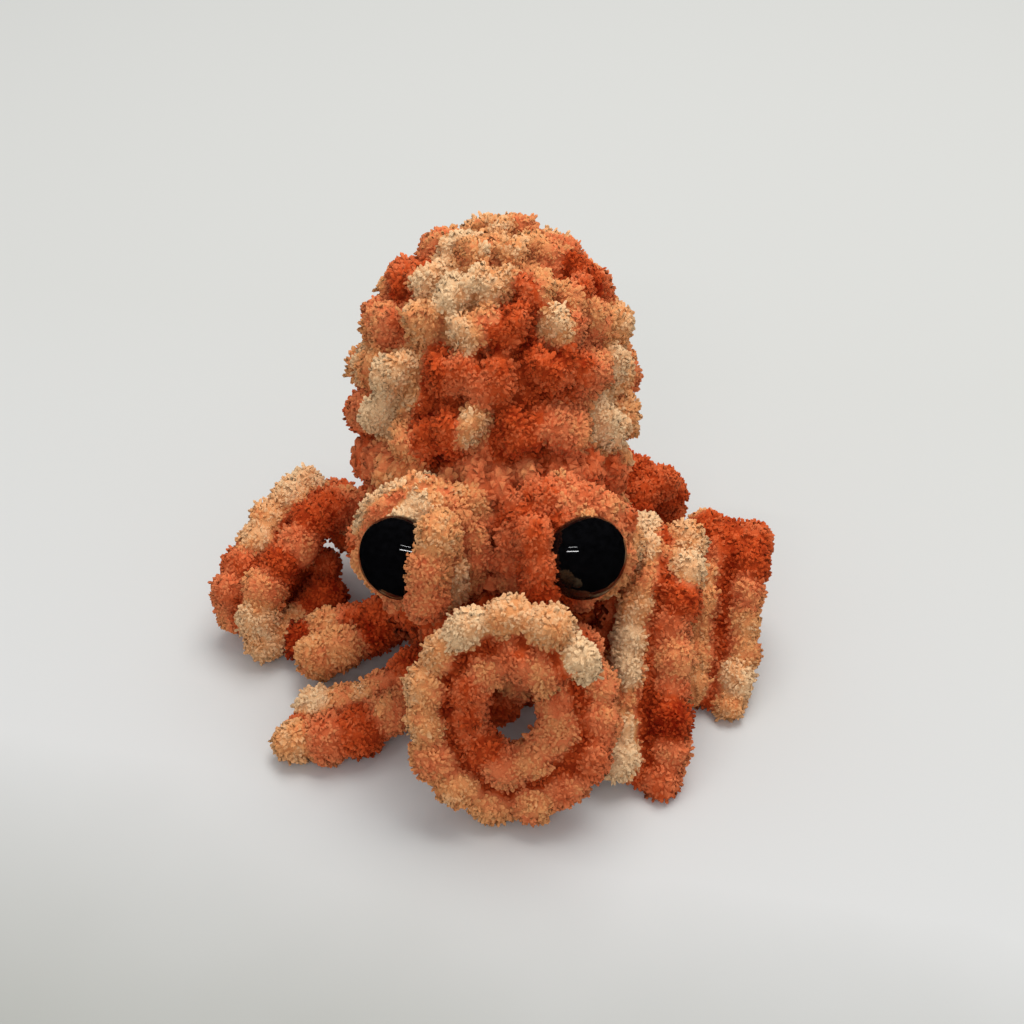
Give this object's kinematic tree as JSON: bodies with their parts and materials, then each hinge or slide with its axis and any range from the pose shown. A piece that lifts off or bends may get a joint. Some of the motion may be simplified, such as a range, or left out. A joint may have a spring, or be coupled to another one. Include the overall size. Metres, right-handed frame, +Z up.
{
  "type": "crocheted octopus toy",
  "caption": "Soft crocheted octopus with a stuffed head that leans back, padded eye mounds with glossy black eyes, and floppy curled arms.",
  "frame": {"origin": "middle of the base round's flat underside, on the surface that the toy stands on", "axes": "+Z up, -Y towards the viewer of the face, +X to that viewer's right"},
  "size_m": [0.11, 0.0972, 0.0812],
  "materials": {
    "chenille_yarn": "chenille pile, dyed in cream, tan, salmon and rust",
    "stuffing": "loose polyester fibre",
    "black_plastic": "polished",
    "washer_plastic": "plain moulded"
  },
  "bodies": {
    "body": {"head_cover": "chenille_yarn", "head_stuffing": "stuffing", "base_round": "chenille_yarn", "left_eye_mound": "chenille_yarn", "left_eye": "black_plastic", "left_eye_washer": "washer_plastic", "right_eye_mound": "chenille_yarn", "right_eye": "black_plastic", "right_eye_washer": "washer_plastic"},
    "front_arm": {"front_arm": "chenille_yarn"},
    "front_right_arm": {"front_right_arm": "chenille_yarn"},
    "right_arm": {"right_arm": "chenille_yarn"},
    "back_right_arm": {"back_right_arm": "chenille_yarn"},
    "back_arm": {"back_arm": "chenille_yarn"},
    "back_left_arm": {"back_left_arm": "chenille_yarn"},
    "left_arm": {"left_arm": "chenille_yarn"},
    "front_left_arm": {"front_left_arm": "chenille_yarn"}
  },
  "joints": [
    {"name": "front_arm_swing", "type": "hinge", "parent": "body", "child": "front_arm", "pos_m": [0, -0.0206, 0.0095], "axis": [0, 0, 1], "range_deg": [-18, 3], "stiffness_Nm_per_rad": 0.05},
    {"name": "front_right_arm_swing", "type": "hinge", "parent": "body", "child": "front_right_arm", "pos_m": [0.01478, -0.01398, 0.0095], "axis": [0, 0, 1], "range_deg": [-12, 0], "stiffness_Nm_per_rad": 0.05},
    {"name": "right_arm_swing", "type": "hinge", "parent": "body", "child": "right_arm", "pos_m": [0.02145, 0.0008, 0.0095], "axis": [0, 0, 1], "range_deg": [-16, 12], "stiffness_Nm_per_rad": 0.05},
    {"name": "back_right_arm_swing", "type": "hinge", "parent": "body", "child": "back_right_arm", "pos_m": [0.01732, 0.01812, 0.0095], "axis": [0, 0, 1], "range_deg": [-18, 4], "stiffness_Nm_per_rad": 0.05},
    {"name": "back_arm_swing", "type": "hinge", "parent": "body", "child": "back_arm", "pos_m": [0, 0.0279, 0.0095], "axis": [0, 0, 1], "range_deg": [-24, 2], "stiffness_Nm_per_rad": 0.05},
    {"name": "back_left_arm_swing", "type": "hinge", "parent": "body", "child": "back_left_arm", "pos_m": [-0.01732, 0.01812, 0.0095], "axis": [0, 0, 1], "range_deg": [-8, 0], "stiffness_Nm_per_rad": 0.05},
    {"name": "left_arm_swing", "type": "hinge", "parent": "body", "child": "left_arm", "pos_m": [-0.02145, 0.0008, 0.0095], "axis": [0, 0, 1], "range_deg": [-12, 12], "stiffness_Nm_per_rad": 0.05},
    {"name": "front_left_arm_lift", "type": "hinge", "parent": "body", "child": "front_left_arm", "pos_m": [-0.01478, -0.01398, 0.0095], "axis": [-0.7071, 0.7071, 0], "range_deg": [0, 30], "stiffness_Nm_per_rad": 0.05}
  ]
}
